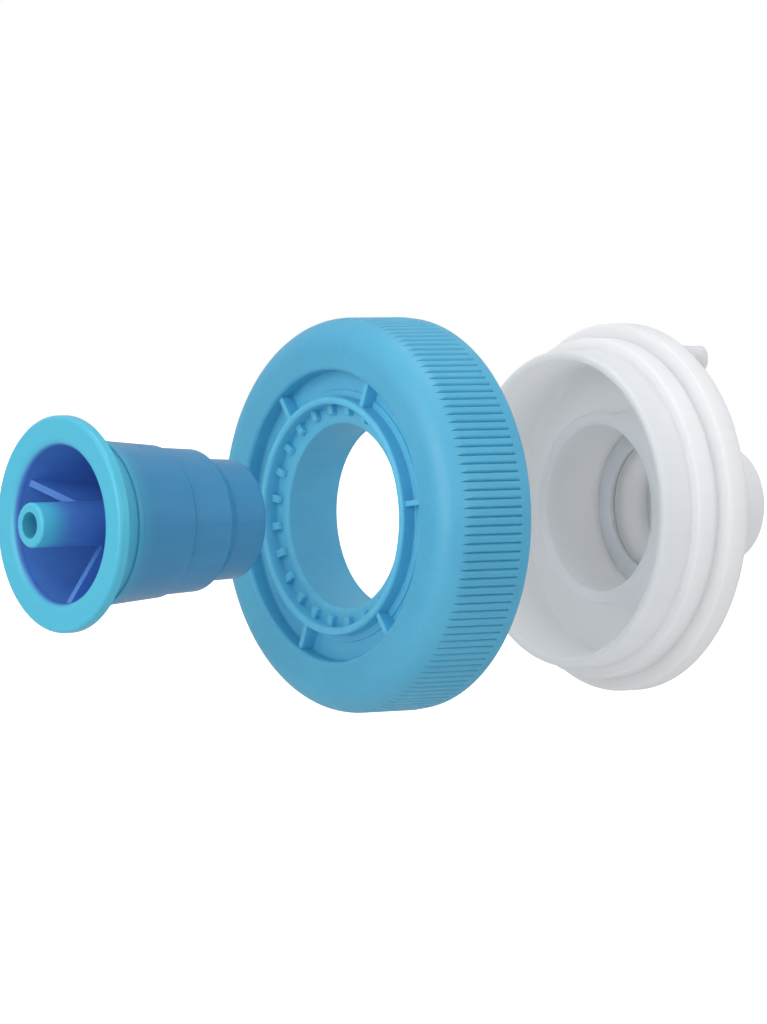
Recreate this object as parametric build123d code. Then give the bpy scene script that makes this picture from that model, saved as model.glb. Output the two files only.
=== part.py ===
from build123d import *
from math import cos, pi, sin, sqrt
import os

# Liquor pour spout in three mouldings: a flanged pouring nozzle, a ribbed grip collar and a
# white gland that plugs into the bottle. It is modelled pulled apart along its own axis.
# The axis is Y. The nozzle's mouth faces -Y and the bottle is at +Y. The origin is the centre
# of the bottle's mouth plane, where the mouth gasket bears. Every outline below is a list of
# (radius, depth) points, with depth counted along +Y from that moulding's own front plane.

# ---- driving dimensions, mm ----
COLLAR_R = 33.0             # collar over the crests of its grip ribs
COLLAR_DEPTH = 17.6
COLLAR_BORE_R = 15.4
GRIP_RIBS = 140
GRIP_RIB_HEIGHT = 0.45
SHOULDER_R = 5.0            # round shoulder between collar face and grip
FACE_RIBS = 6
FACE_RIB_START = 7.5        # degrees from +X towards +Z
SEAT_TEETH = 24
INNER_RIBS = 12

NOZZLE_FLANGE_R = 17.6
NOZZLE_MOUTH_R = 12.8
NOZZLE_LENGTH = 35.0
TUBE_R = 3.65               # vent tube in the middle of the nozzle
TUBE_BORE_R = 2.15
TUBE_PROUD = 5.4            # vent tube ahead of the flange face
WEB_COUNT = 3
WEB_START = -90.0
WEB_THICK = 1.2

GLAND_LENGTH = 37.3
CUP_R = 27.1
LAND_R = 29.2               # land that the collar's inner ribs ride on
FLANGE_R = 31.6
SOCKET_RIM_DEPTH = 7.6      # rim of the nozzle socket behind the cup's rim
SOCKET_BORE_R = 14.3
SPIGOT_R = 10.0             # plugs into the bottle's neck
SPIGOT_BORE_R = 8.3
BOSS_R = 10.4               # short boss at the spigot's root that centres the mouth gasket
RELIEF_R = 9.7              # shallow groove behind the boss, where the bottle's lip lands
MOUTH_FACE_DEPTH = 28.8     # gland face that the mouth gasket sits on

GASKET_THICK = 1.2
LINER_THICK = 2.0
BALL_R = 2.0                # vent check ball
RUNNING_GAP = 0.05

# ---- places along the axis, pulled apart ----
GLAND_Y = -(MOUTH_FACE_DEPTH + GASKET_THICK)    # the gland's rim
COLLAR_AHEAD = 49.9                             # collar face ahead of the gland's rim
NOZZLE_AHEAD = 54.7                             # nozzle face ahead of the collar face
COLLAR_Y = GLAND_Y - COLLAR_AHEAD
NOZZLE_Y = COLLAR_Y - NOZZLE_AHEAD


def turned(points, radii=0):
    """Solid of revolution about Y from (radius, depth) points, with one corner radius each."""
    if radii == 0:
        outline = Polyline(*points, close=True)
    else:
        outline = FilletPolyline(*points, radius=radii, close=True)
    return revolve(make_face(outline), axis=Axis.Y)


def disc(radius, near, far):
    """Plain cylinder about Y between two depths."""
    return Pos(0, (near + far) / 2, 0) * Rot(90, 0, 0) * Cylinder(radius, far - near)


def ring(outer, inner, near, far):
    return disc(outer, near, far) - disc(inner, near - 1, far + 1)


def fin(points, thick, angle):
    """Flat radial plate from (radius, depth) points, turned by angle from +X towards +Z."""
    plate = extrude(make_face(Polyline(*points, close=True)), thick / 2, both=True)
    return Rot(0, -angle, 0) * plate


def fins(points, thick, count, start=0.0):
    return [fin(points, thick, start + 360 * i / count) for i in range(count)]


# ---- nozzle ----
CHAMBER_R = 2.5             # room for the check ball at the back of the vent tube
SEAT_HOLE_R = 1.2
SEAT_DEPTH = 22.5           # front of the ball's conical seat
TUBE_END = 31.5
CAGE_FRONT = 27.3


def make_nozzle():
    cove_r = 4.5
    flange_back = 1.9
    body_front = flange_back + cove_r
    body_r = 13.6
    # the flange runs into a cove, then a small bead and a body stepped once before the tip
    with BuildPart() as shell:
        with BuildSketch():
            with BuildLine():
                cove_start = (NOZZLE_FLANGE_R, flange_back)
                cove_end = (body_r, body_front)
                FilletPolyline(
                    (12.1, 7.5), (NOZZLE_MOUTH_R, 1.6), (NOZZLE_MOUTH_R, 0),
                    (NOZZLE_FLANGE_R, 0), cove_start, radius=[0, 1.3, 0.7],
                )
                RadiusArc(cove_start, cove_end, cove_r)
                FilletPolyline(
                    cove_end, (13.9, body_front + 0.15), (13.9, 7.4), (13.5, 7.7),
                    (12.5, 18.6), (12.1, 19.0), (11.7, 26.3), (10.1, 28.4),
                    (9.8, NOZZLE_LENGTH), (8.7, NOZZLE_LENGTH), (8.8, 28.2), (10.1, 25.6),
                    (10.6, 18.6), (12.1, 7.5),
                    radius=[0.1, 0.15, 0.15, 0.15, 0.15, 0.4, 0.4, 0.9, 0.2, 0.8, 1.0, 0],
                )
            make_face()
        revolve(axis=Axis.Y)
    tube = turned(
        [(0, -TUBE_PROUD), (TUBE_R, -TUBE_PROUD), (TUBE_R, TUBE_END), (0, TUBE_END)],
        [0, 0.5, 0.2, 0],
    )
    web_outline = [
        (2.9, 8.8), (TUBE_R, 8.6), (13.0, 2.0), (12.7, 7.5), (11.2, 18.8), (10.8, 25.6),
        (9.3, 28.8), (9.1, 32.0), (TUBE_R, 30.6), (2.9, 30.6),
    ]
    body = shell.part + tube
    for web in fins(web_outline, WEB_THICK, WEB_COUNT, WEB_START):
        body += web
    cone_back = SEAT_DEPTH + CHAMBER_R - SEAT_HOLE_R
    bore = turned([
        (0, -TUBE_PROUD - 1), (TUBE_BORE_R, -TUBE_PROUD - 1), (TUBE_BORE_R, SEAT_DEPTH - 2),
        (SEAT_HOLE_R, SEAT_DEPTH - 1), (SEAT_HOLE_R, SEAT_DEPTH), (CHAMBER_R, cone_back),
        (CHAMBER_R, TUBE_END + 1), (0, TUBE_END + 1),
    ])
    return Pos(0, NOZZLE_Y, 0) * (body - bore)


def make_vent_ball():
    # 45 degree seat: the ball's centre is sqrt(2) radii behind the cone's tip
    cone_tip = SEAT_DEPTH - SEAT_HOLE_R
    centre = cone_tip + sqrt(2) * (BALL_R + RUNNING_GAP)
    return Pos(0, NOZZLE_Y + centre, 0) * Sphere(BALL_R)


def make_ball_cage():
    head = 0.9
    bore_r = 1.3
    cage = turned([
        (bore_r, CAGE_FRONT), (CHAMBER_R, CAGE_FRONT), (CHAMBER_R, TUBE_END),
        (TUBE_R - 0.2, TUBE_END), (TUBE_R - 0.2, TUBE_END + head), (bore_r, TUBE_END + head),
    ])
    # air slots across the front, so that a ball lying on the cage does not close the vent
    slot = Pos(0, CAGE_FRONT, 0) * Box(2 * CHAMBER_R + 1, 2.0, 0.8)
    return Pos(0, NOZZLE_Y, 0) * (cage - slot - Rot(0, 90, 0) * slot)


# ---- collar ----
LIP_R = 18.6                # inside of the raised lip round the nozzle's flange
LIP_OUT_R = 19.9
RECESS_R = 24.3
RECESS_DEPTH = 3.3
WEB_BACK = 5.2              # underside of the collar's face
TUBE_BACK = 13.4            # back of the collar's bore tube
SKIRT_R = 31.2              # inside of the skirt
RIB_END = 15.0              # grip ribs stop here, before the smooth bead


def grip_envelope():
    """Scalloped bar with one round lobe per grip rib, as deep as the ribs run.

    The lobes stand a little proud of the collar, so that each rib keeps a narrow crest."""
    valley_r = COLLAR_R - GRIP_RIB_HEIGHT
    lobe_r = COLLAR_R + 0.08
    half = pi / GRIP_RIBS
    lobes = []
    for i in range(GRIP_RIBS):
        mid = 2 * i * half
        ends = [
            (valley_r * cos(mid + turn), valley_r * sin(mid + turn)) for turn in (-half, half)
        ]
        crest = (lobe_r * cos(mid), lobe_r * sin(mid))
        lobes.append(ThreePointArc(ends[0], crest, ends[1]))
    section = Plane.XZ * make_face(Wire(lobes))
    return extrude(section, -(RIB_END + 1)).moved(Pos(0, -1, 0))


def make_collar():
    bead_r = COLLAR_R - 0.15
    body = turned(
        [
            (COLLAR_BORE_R, 3.2), (16.1, 2.9), (LIP_R, 2.9), (LIP_R, 0.2), (LIP_OUT_R, 0.2),
            (LIP_OUT_R, RECESS_DEPTH - 0.4), (21.0, RECESS_DEPTH - 0.4), (21.0, RECESS_DEPTH),
            (RECESS_R, RECESS_DEPTH), (RECESS_R, 0), (COLLAR_R, 0), (COLLAR_R, RIB_END),
            (bead_r, RIB_END), (bead_r, COLLAR_DEPTH), (SKIRT_R, COLLAR_DEPTH),
            (SKIRT_R, WEB_BACK), (17.0, WEB_BACK), (17.0, TUBE_BACK),
            (COLLAR_BORE_R, TUBE_BACK),
        ],
        [
            0.3, 0.4, 0.2, 0.55, 0.55, 0.3, 0.15, 0.15, 0.6, 0.7, SHOULDER_R, 0, 0, 1.3, 0.4,
            1.2, 0.5, 0.5, 0.4,
        ],
    )
    back_bead = disc(COLLAR_R + 1, RIB_END, COLLAR_DEPTH + 1)
    body = body & (grip_envelope() + back_bead)
    face_rib = [
        (LIP_OUT_R - 0.5, 0.9), (RECESS_R + 0.6, 0.9), (RECESS_R + 0.6, RECESS_DEPTH + 0.5),
        (LIP_OUT_R - 0.5, RECESS_DEPTH + 0.5),
    ]
    tooth = [(16.9, 2.5), (17.1, 2.0), (LIP_R + 0.4, 1.8), (LIP_R + 0.4, 3.4), (16.9, 3.4)]
    inner_rib = [
        (LAND_R + 0.1, WEB_BACK - 0.5), (LAND_R + 0.1, 15.3), (30.6, 16.4), (SKIRT_R + 0.4, 16.4),
        (SKIRT_R + 0.4, WEB_BACK - 0.5),
    ]
    for rib in fins(face_rib, 0.9, FACE_RIBS, FACE_RIB_START):
        body += rib
    for rib in fins(tooth, 1.2, SEAT_TEETH, FACE_RIB_START):
        body += rib
    for rib in fins(inner_rib, 1.2, INNER_RIBS, FACE_RIB_START):
        body += rib
    return Pos(0, COLLAR_Y, 0) * body


def make_collar_liner():
    return Pos(0, COLLAR_Y, 0) * ring(28.6, 24.4, WEB_BACK, WEB_BACK + LINER_THICK)


# ---- gland ----
CUP_INNER_R = 25.5
FLOOR_DEPTH = 12.0          # floor of the cup
FLOOR_BACK = 13.6
SOCKET_R = 16.5             # outside of the nozzle socket
SEAT_WASHER_DEPTH = 19.25
SEAT_FLOOR = SEAT_WASHER_DEPTH + GASKET_THICK
THROAT_R = 10.6             # room for the nozzle's tip
THROAT_END = 27.4
MOUTH_DEPTH = MOUTH_FACE_DEPTH + GASKET_THICK   # the bottle's mouth plane
BOSS_END = MOUTH_DEPTH - 0.2
BRIDGE_HALF = 16.2          # half width of the land that ties the socket to the cup wall
BRIDGE_FLARE = 3.6          # how much wider each side of the land is at the cup wall
FLARE_START = 5.0
LUG_HALF_WIDTH = 14.7       # flat lug behind the flange
LUG_OUT = 27.8
LUG_THICK = 4.4
LUG_WALL = 1.3
LUG_CORNER_R = 1.9
LUG_BACK = 20.0


def make_gland():
    body = turned(
        [
            (CUP_INNER_R, 0), (CUP_R, 0), (CUP_R + 0.1, 6.0), (LAND_R, 6.0), (LAND_R, 9.9),
            (28.4, 9.9), (28.4, 10.7), (FLANGE_R, 10.7), (FLANGE_R, 15.1), (29.7, 15.1),
            (29.5, FLOOR_BACK), (SOCKET_R, FLOOR_BACK), (SOCKET_R - 0.3, 22.2), (12.4, 22.2),
            (12.4, 27.2), (14.5, 27.2), (14.5, MOUTH_FACE_DEPTH), (BOSS_R, MOUTH_FACE_DEPTH),
            (BOSS_R, BOSS_END), (RELIEF_R, BOSS_END), (RELIEF_R, MOUTH_DEPTH + 0.3),
            (SPIGOT_R, MOUTH_DEPTH + 0.6),
            (SPIGOT_R, GLAND_LENGTH), (SPIGOT_BORE_R, GLAND_LENGTH),
            (SPIGOT_BORE_R, THROAT_END), (THROAT_R, THROAT_END), (THROAT_R, SEAT_FLOOR),
            (SOCKET_BORE_R, SEAT_FLOOR), (SOCKET_BORE_R, SOCKET_RIM_DEPTH),
            (SOCKET_R, SOCKET_RIM_DEPTH), (SOCKET_R, FLOOR_DEPTH), (25.2, FLOOR_DEPTH),
        ],
        [
            0.7, 0.8, 0.4, 0.4, 0.3, 0, 0, 0.5, 0.9, 0.3, 0.8, 0.8, 1.2, 0.6, 0.4, 0.3, 0.3, 0,
            0, 0, 0, 0, 0.9, 0.3, 0.3, 0.3, 0, 0.3, 0.6, 0.9, 0.8, 1.0,
        ],
    )
    return Pos(0, GLAND_Y, 0) * (body + bridge() - bridge_pocket() + key_lug())


def flared_land(half, flare):
    """Outline across the axis of the land: straight sides that flare out to the cup's wall."""
    wall_z = half + flare
    wall_x = sqrt(CUP_INNER_R**2 - wall_z**2)
    corners = [(0, -half), (FLARE_START, -half), (wall_x, -wall_z), (CUP_INNER_R + 1, -wall_z)]
    outline = corners + [(x, -z) for x, z in reversed(corners)]
    return Plane.XZ * make_face(Polyline(*outline, close=True))


def bridge():
    near, far = SOCKET_RIM_DEPTH + 0.15, FLOOR_DEPTH + 0.5
    land = extrude(flared_land(BRIDGE_HALF, BRIDGE_FLARE), near - far)
    land = land.moved(Pos(0, near, 0))
    return (land & disc(CUP_INNER_R + 0.6, near, far)) - disc(SOCKET_BORE_R + 0.7, 0, far + 1)


def bridge_pocket():
    """Coring from behind, so that the land keeps an even wall."""
    near, far = SOCKET_RIM_DEPTH + 2.0, FLOOR_BACK + 1
    hollow = extrude(flared_land(BRIDGE_HALF - 1.8, BRIDGE_FLARE), near - far)
    hollow = hollow.moved(Pos(0, near, 0))
    return (hollow & disc(CUP_INNER_R - 1.0, near, far)) - disc(SOCKET_R + 0.9, 0, far + 1)


def key_lug():
    """Hollow lug with flat sides behind the flange, which keys the gland to its clamp."""
    near = FLOOR_BACK - 0.5
    mid_z = LUG_OUT - LUG_THICK / 2
    solid = RectangleRounded(2 * LUG_HALF_WIDTH, LUG_THICK, LUG_CORNER_R)
    core = RectangleRounded(2 * (LUG_HALF_WIDTH - LUG_WALL), LUG_THICK - 2 * LUG_WALL, 0.6)
    block = extrude(Plane.XZ * solid, near - LUG_BACK).moved(Pos(0, near, mid_z))
    pocket = extrude(Plane.XZ * core, near - LUG_BACK).moved(Pos(0, near + 2.5, mid_z))
    return block - pocket


def make_seat_washer():
    washer = ring(SOCKET_BORE_R - 0.35, 11.0, SEAT_WASHER_DEPTH, SEAT_FLOOR)
    return Pos(0, GLAND_Y, 0) * washer


def make_mouth_gasket():
    return ring(14.3, BOSS_R + 0.05, -GASKET_THICK, 0)


PIECES = {
    "nozzle": make_nozzle,
    "vent_ball": make_vent_ball,
    "ball_cage": make_ball_cage,
    "collar": make_collar,
    "collar_liner": make_collar_liner,
    "gland": make_gland,
    "seat_washer": make_seat_washer,
    "mouth_gasket": make_mouth_gasket,
}

os.makedirs("parts", exist_ok=True)
for name, make in PIECES.items():
    export_step(make(), f"parts/{name}.step")
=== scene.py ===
import bpy
from math import cos, pi, radians, sin
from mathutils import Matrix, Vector


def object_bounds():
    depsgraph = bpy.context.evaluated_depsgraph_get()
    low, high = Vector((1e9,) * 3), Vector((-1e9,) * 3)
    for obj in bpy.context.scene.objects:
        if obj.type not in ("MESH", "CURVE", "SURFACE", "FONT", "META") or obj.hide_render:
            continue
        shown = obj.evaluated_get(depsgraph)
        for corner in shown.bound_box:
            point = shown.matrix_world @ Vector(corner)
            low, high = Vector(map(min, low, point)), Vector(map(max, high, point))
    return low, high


# Liquor pour spout: the moulded CAD pieces carry procedural plastics, lit on a white sweep.
# Lengths are metres in the CAD frame, +Y along the spout into the bottle.

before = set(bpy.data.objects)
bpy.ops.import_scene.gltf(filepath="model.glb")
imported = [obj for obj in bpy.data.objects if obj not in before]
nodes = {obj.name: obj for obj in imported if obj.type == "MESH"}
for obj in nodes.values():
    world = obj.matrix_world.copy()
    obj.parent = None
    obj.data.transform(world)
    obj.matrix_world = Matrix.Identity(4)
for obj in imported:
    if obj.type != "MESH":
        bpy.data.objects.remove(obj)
cad_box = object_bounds()
low, high = cad_box
MM = 0.001

# ---- sizes of the pieces that the materials follow ----
VENT_TUBE_PROUD = 5.4 * MM      # the vent tube stands this far ahead of the nozzle's face
NOZZLE_WALL_R = 13.1 * MM       # a radius inside the nozzle's wall, carried forward to its face
NOZZLE_TAPER = 0.115            # how fast the nozzle's wall narrows along the axis
RECESS_WALL_R = 24.3 * MM       # wall round the recess in the collar's face
CUP_WALL_R = 26.0 * MM          # a radius inside the gland's cup wall

# ---- camera: a long lens on the nozzle's side, nearly level with the axis ----
VIEW_AZIMUTH = 52.75
VIEW_ELEVATION = 2.3
VIEW_DISTANCE = 1.105
LENS = 232.0                    # mm, on a sensor as wide as a film frame
SENSOR = 36.0
AIM = Vector((0, (low.y + high.y) / 2 - 2.1 * MM, 0.4 * MM))


def aim_at(thing, place, target):
    """Put a camera or light in the scene at place, looking at target."""
    thing.location = place
    thing.rotation_mode = "QUATERNION"
    thing.rotation_quaternion = (target - place).to_track_quat("-Z", "Y")
    bpy.context.scene.collection.objects.link(thing)


def make_camera():
    a, e = radians(VIEW_AZIMUTH), radians(VIEW_ELEVATION)
    back = Vector((sin(a) * cos(e), -cos(a) * cos(e), sin(e)))
    data = bpy.data.cameras.new("camera")
    data.lens = LENS
    data.sensor_width = SENSOR
    data.clip_start, data.clip_end = 0.05, 20.0
    camera = bpy.data.objects.new("camera", data)
    aim_at(camera, AIM + VIEW_DISTANCE * back, AIM)
    bpy.context.scene.camera = camera


def softbox(name, place, target, size, power):
    """Round white area light that the camera doesn't see."""
    data = bpy.data.lights.new(name, "AREA")
    data.shape = "DISK"
    data.size = size
    data.energy = power
    light = bpy.data.objects.new(name, data)
    light.visible_camera = False
    aim_at(light, Vector(place), target)


def make_lights():
    """Three softboxes: one to the mouths, one to the flanks and one above."""
    nozzle = Vector((0, low.y, 0))
    gland = Vector((0, high.y, 0))
    softbox("key", (0.10, low.y - 0.42, 0.12), nozzle, 0.5, 1.3)
    softbox("side", (0.62, high.y + 0.05, 0.18), gland, 0.5, 0.7)
    softbox("top", (0.10, AIM.y, 0.75), AIM, 0.6, 1.7)


def make_world():
    """Even pale room, seen by the camera as white."""
    world = bpy.data.worlds.new("studio")
    world.use_nodes = True
    tree = world.node_tree
    tree.nodes.clear()
    out = tree.nodes.new("ShaderNodeOutputWorld")
    mix = tree.nodes.new("ShaderNodeMixShader")
    path = tree.nodes.new("ShaderNodeLightPath")
    room = tree.nodes.new("ShaderNodeBackground")
    seen = tree.nodes.new("ShaderNodeBackground")
    room.inputs["Color"].default_value = (0.95, 0.97, 1.0, 1)
    room.inputs["Strength"].default_value = 0.60
    seen.inputs["Color"].default_value = (1, 1, 1, 1)
    seen.inputs["Strength"].default_value = 1.0
    tree.links.new(path.outputs["Is Camera Ray"], mix.inputs[0])
    tree.links.new(room.outputs[0], mix.inputs[1])
    tree.links.new(seen.outputs[0], mix.inputs[2])
    tree.links.new(mix.outputs[0], out.inputs["Surface"])
    bpy.context.scene.world = world


def make_floor():
    """Lit white table, bright enough to run into the room without an edge."""
    drop = 0.12
    radius = 6.0
    count = 96
    turns = [2 * pi * i / count for i in range(count)]
    rim = [(radius * cos(t), radius * sin(t), low.z - drop) for t in turns]
    mesh = bpy.data.meshes.new("floor")
    mesh.from_pydata(rim, [], [list(range(count))])
    floor = bpy.data.objects.new("floor", mesh)
    bpy.context.scene.collection.objects.link(floor)
    mat = bpy.data.materials.new("floor_white")
    mat.use_nodes = True
    tree = mat.node_tree
    shader = tree.nodes["Principled BSDF"]
    shader.inputs["Base Color"].default_value = (0.65, 0.65, 0.65, 1)
    shader.inputs["Roughness"].default_value = 0.9
    shader.inputs["Emission Color"].default_value = (1, 1, 1, 1)
    # it glows only where it is seen, so it lights the object no more than a plain table does
    path = tree.nodes.new("ShaderNodeLightPath")
    tree.links.new(path.outputs["Is Camera Ray"], shader.inputs["Emission Strength"])
    mesh.materials.append(mat)


# ---- materials ----
BLUE_GLOW = (0.3, 0.8, 1.0)     # how far red, green and blue light travel under the surface
WHITE_GLOW = (1.0, 0.97, 0.94)
PLASTIC_IOR = 1.49
SILICONE_IOR = 1.41
SCUFF_ROUGHNESS = 0.10          # a scuff is this much rougher than the skin around it


class Nodes:
    """Short names for the few nodes that every material here is made of."""

    def __init__(self, name):
        self.mat = bpy.data.materials.new(name)
        self.mat.use_nodes = True
        self.tree = self.mat.node_tree
        self.shader = self.tree.nodes["Principled BSDF"]
        self.place = self.tree.nodes.new("ShaderNodeTexCoord").outputs["Object"]

    def link(self, source, socket):
        self.tree.links.new(source, socket)

    def set(self, **values):
        for name, value in values.items():
            self.shader.inputs[name.replace("_", " ")].default_value = value

    def radius(self):
        """Distance from the spout's axis."""
        node = self.tree.nodes.new("ShaderNodeVectorMath")
        node.operation = "LENGTH"
        self.link(self.stretched(1.0, 0.0, 1.0), node.inputs[0])
        return node.outputs["Value"]

    def depth(self):
        """Place along the spout's axis."""
        node = self.tree.nodes.new("ShaderNodeSeparateXYZ")
        self.link(self.place, node.inputs[0])
        return node.outputs["Y"]

    def stretched(self, x, y, z):
        node = self.tree.nodes.new("ShaderNodeMapping")
        node.inputs["Scale"].default_value = (x, y, z)
        self.link(self.place, node.inputs["Vector"])
        return node.outputs[0]

    def noise(self, size_mm, detail=2.0, vector=None, rough=0.5):
        node = self.tree.nodes.new("ShaderNodeTexNoise")
        node.inputs["Scale"].default_value = 1.0 / (size_mm * MM)
        node.inputs["Detail"].default_value = detail
        node.inputs["Roughness"].default_value = rough
        self.link(vector or self.place, node.inputs["Vector"])
        return node.outputs["Fac"]

    def spread(self, source, low_in, high_in, low_out, high_out):
        node = self.tree.nodes.new("ShaderNodeMapRange")
        node.interpolation_type = "SMOOTHSTEP"
        for socket, value in zip(node.inputs[1:5], (low_in, high_in, low_out, high_out)):
            socket.default_value = value
        self.link(source, node.inputs["Value"])
        return node.outputs["Result"]

    def maths(self, operation, first, second):
        node = self.tree.nodes.new("ShaderNodeMath")
        node.operation = operation
        for socket, value in zip(node.inputs, (first, second)):
            if isinstance(value, float):
                socket.default_value = value
            else:
                self.link(value, socket)
        return node.outputs[0]

    def blend(self, factor, first, second):
        node = self.tree.nodes.new("ShaderNodeMix")
        node.data_type = "RGBA"
        self.link(factor, node.inputs["Factor"])
        for socket, value in zip((node.inputs[6], node.inputs[7]), (first, second)):
            if isinstance(value, tuple):
                socket.default_value = (*value, 1)
            else:
                self.link(value, socket)
        return node.outputs[2]

    def bump(self, height, height_mm, under=None):
        node = self.tree.nodes.new("ShaderNodeBump")
        node.inputs["Strength"].default_value = 1.0
        node.inputs["Distance"].default_value = height_mm * MM
        self.link(height, node.inputs["Height"])
        if under:
            self.link(under, node.inputs["Normal"])
        return node.outputs[0]


def moulded(name, tones, rough, glow, glow_mm, glow_tint):
    """Injection-moulded plastic: clouding of the melt, flow lines, fine grain and scuffs."""
    m = Nodes(name)
    cloud = m.noise(14.0, 3.0)
    flow = m.noise(1.6, 2.0, m.stretched(1.0, 0.08, 1.0))
    mottle = m.maths("ADD", m.maths("MULTIPLY", cloud, 0.7), m.maths("MULTIPLY", flow, 0.3))
    m.shade = m.spread(mottle, 0.32, 0.68, 0.0, 1.0)
    m.colour = m.blend(m.shade, *tones)
    m.link(m.colour, m.shader.inputs["Base Color"])
    # hairline scuffs run round the axis and along it
    around = m.spread(m.noise(0.5, 1.0, m.stretched(0.07, 1.0, 0.07)), 0.60, 0.68, 0.0, 1.0)
    along = m.spread(m.noise(0.45, 1.0, m.stretched(1.0, 0.05, 1.0)), 0.62, 0.70, 0.0, 1.0)
    patch = m.spread(m.noise(9.0, 2.0), 0.45, 0.62, 0.0, 1.0)
    scuffs = m.maths("MULTIPLY", m.maths("ADD", around, along), patch)
    satin = m.spread(m.noise(5.0, 3.0), 0.3, 0.7, rough - 0.05, rough + 0.06)
    worn = m.maths("ADD", satin, m.maths("MULTIPLY", scuffs, SCUFF_ROUGHNESS))
    m.link(worn, m.shader.inputs["Roughness"])
    grain = m.bump(m.noise(0.42, 2.0, rough=0.6), 0.006)
    lines = m.bump(flow, 0.010, grain)
    m.link(m.bump(scuffs, 0.002, lines), m.shader.inputs["Normal"])
    m.set(IOR=PLASTIC_IOR, Subsurface_Weight=glow, Subsurface_Scale=glow_mm * MM)
    m.set(Subsurface_Radius=glow_tint)
    return m


def give(node, mat):
    """Make mat the only material of a CAD piece."""
    mesh = nodes[node].data
    mesh.materials.clear()
    mesh.materials.append(mat)


def nozzle_blue():
    """Painted light and shade: lighter cyan painted at the thin flange and at the vent tube's lip as
    light through the plastic, darker blue painted down the body and a deeper blue painted inside as
    shade.
    """
    # painted shade: the body tones are a darker blue and the inside tones a deeper blue, standing in
    # for shade
    painted_shade_body_tones = ((0.040, 0.235, 0.45), (0.047, 0.262, 0.49))
    painted_shade_inside_tones = ((0.085, 0.24, 0.64), (0.100, 0.28, 0.72))
    # painted light: a lighter cyan for the thin flange and the vent tube's lip
    painted_light_flange_cyan = (0.078, 0.50, 0.68)
    face = low.y + VENT_TUBE_PROUD
    m = moulded("nozzle_blue", painted_shade_body_tones, 0.33, 0.25, 0.9, BLUE_GLOW)
    radius, depth = m.radius(), m.depth()
    # the wall narrows towards the tip, and this cone runs inside its thickness
    cone = m.maths("ADD", radius, m.maths("MULTIPLY", depth, NOZZLE_TAPER))
    wall = NOZZLE_WALL_R + NOZZLE_TAPER * face
    # painted shade mask: 1 inside the nozzle's wall, where the deeper blue of shade is painted
    inside = m.spread(cone, wall - 0.12 * MM, wall + 0.12 * MM, 1.0, 0.0)
    # painted light fading into painted shade: cyan at the flange and mouth, darker blue further
    # along the axis
    down_body = m.spread(depth, face + 1.5 * MM, face + 11.0 * MM, 0.0, 1.0)
    down_mouth = m.spread(depth, face - 4.5 * MM, face + 1.0 * MM, 0.0, 1.0)
    outer = m.blend(down_body, painted_light_flange_cyan, m.colour)
    inner = m.blend(down_mouth, painted_light_flange_cyan, m.blend(m.shade, *painted_shade_inside_tones))
    m.link(m.blend(inside, outer, inner), m.shader.inputs["Base Color"])
    return m.mat


def collar_blue():
    """Painted light: a lighter blue painted inside the recess's wall and down the bore."""
    face_tones = ((0.082, 0.405, 0.615), (0.094, 0.445, 0.655))
    # painted light: lighter blue tones for the recess and bore
    painted_light_recess_tones = ((0.115, 0.50, 0.73), (0.130, 0.55, 0.78))
    m = moulded("collar_blue", face_tones, 0.42, 0.5, 1.6, BLUE_GLOW)
    edge = (RECESS_WALL_R - 0.4 * MM, RECESS_WALL_R + 0.3 * MM)
    # painted light mask: 1 inside the recess's wall, where the lighter blue is painted
    recess = m.spread(m.radius(), *edge, 1.0, 0.0)
    m.link(m.blend(recess, m.colour, m.blend(m.shade, *painted_light_recess_tones)), m.shader.inputs["Base Color"])
    return m.mat


def gland_white():
    """Milky natural plastic, with painted light: brighter white painted inside the cup for light
    through the cup wall.
    """
    outer_tones = ((0.86, 0.866, 0.88), (0.89, 0.896, 0.908))
    # painted light: brighter white tones for the inside of the cup
    painted_light_cup_tones = ((0.95, 0.952, 0.96), (0.97, 0.972, 0.975))
    m = moulded("gland_white", outer_tones, 0.38, 1.0, 8.0, WHITE_GLOW)
    # painted light mask: 1 inside the cup wall, where the brighter white is painted
    cup = m.spread(m.radius(), CUP_WALL_R - 0.3 * MM, CUP_WALL_R + 0.3 * MM, 1.0, 0.0)
    m.link(m.blend(cup, m.colour, m.blend(m.shade, *painted_light_cup_tones)), m.shader.inputs["Base Color"])
    return m.mat


def cage_white():
    """Plain white bush, less clear than the gland."""
    tones = ((0.70, 0.71, 0.72), (0.76, 0.77, 0.77))
    return moulded("cage_white", tones, 0.48, 0.5, 1.5, WHITE_GLOW).mat


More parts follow.
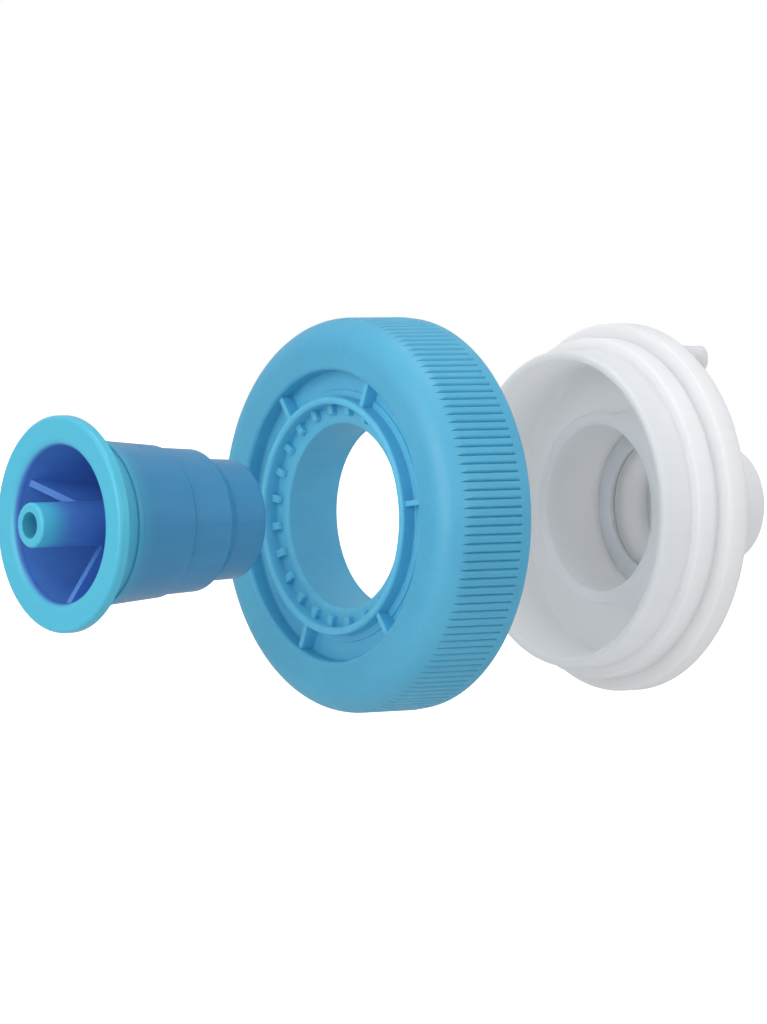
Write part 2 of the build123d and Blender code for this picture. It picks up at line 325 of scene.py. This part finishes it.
def liner_foam():
    """Expanded polyethylene: closed cells under a matt skin."""
    m = Nodes("liner_foam")
    cells = m.tree.nodes.new("ShaderNodeTexVoronoi")
    cells.inputs["Scale"].default_value = 1.0 / (0.35 * MM)
    m.link(m.place, cells.inputs["Vector"])
    tone = m.spread(m.noise(6.0), 0.3, 0.7, 0.0, 1.0)
    m.link(m.blend(tone, (0.74, 0.74, 0.71), (0.82, 0.82, 0.80)), m.shader.inputs["Base Color"])
    m.link(m.spread(m.noise(2.0), 0.3, 0.7, 0.62, 0.8), m.shader.inputs["Roughness"])
    m.link(m.bump(cells.outputs["Distance"], 0.02), m.shader.inputs["Normal"])
    m.set(Subsurface_Weight=0.4, Subsurface_Scale=1.2 * MM, Subsurface_Radius=WHITE_GLOW)
    return m.mat


def silicone():
    """Translucent food-grade silicone with a soft matt skin."""
    m = Nodes("silicone")
    tone = m.spread(m.noise(7.0, 3.0), 0.3, 0.7, 0.0, 1.0)
    m.link(m.blend(tone, (0.84, 0.85, 0.87), (0.89, 0.90, 0.91)), m.shader.inputs["Base Color"])
    m.link(m.spread(m.noise(1.5), 0.3, 0.7, 0.42, 0.56), m.shader.inputs["Roughness"])
    m.link(m.bump(m.noise(0.3, 2.0), 0.006), m.shader.inputs["Normal"])
    m.set(IOR=SILICONE_IOR, Subsurface_Weight=0.7, Subsurface_Scale=2.0 * MM)
    m.set(Subsurface_Radius=WHITE_GLOW)
    return m.mat


def polished_steel():
    """Bearing ball: polished, with a faint haze and lapping marks."""
    m = Nodes("polished_steel")
    lap = m.noise(0.25, 2.0, m.stretched(1.0, 0.1, 1.0))
    tone = m.spread(m.noise(1.2), 0.3, 0.7, 0.0, 1.0)
    m.link(m.blend(tone, (0.60, 0.60, 0.59), (0.68, 0.68, 0.68)), m.shader.inputs["Base Color"])
    m.link(m.spread(lap, 0.3, 0.7, 0.10, 0.22), m.shader.inputs["Roughness"])
    m.link(m.bump(lap, 0.0006), m.shader.inputs["Normal"])
    m.set(Metallic=1.0)
    return m.mat


def finish_pieces():
    """Give every CAD piece its material."""
    give("nozzle", nozzle_blue())
    give("collar", collar_blue())
    give("gland", gland_white())
    give("ball_cage", cage_white())
    give("collar_liner", liner_foam())
    seal = silicone()
    give("seat_washer", seal)
    give("mouth_gasket", seal)
    give("vent_ball", polished_steel())


bpy.context.scene.view_settings.view_transform = "Standard"
make_camera()
make_lights()
make_world()
make_floor()
finish_pieces()
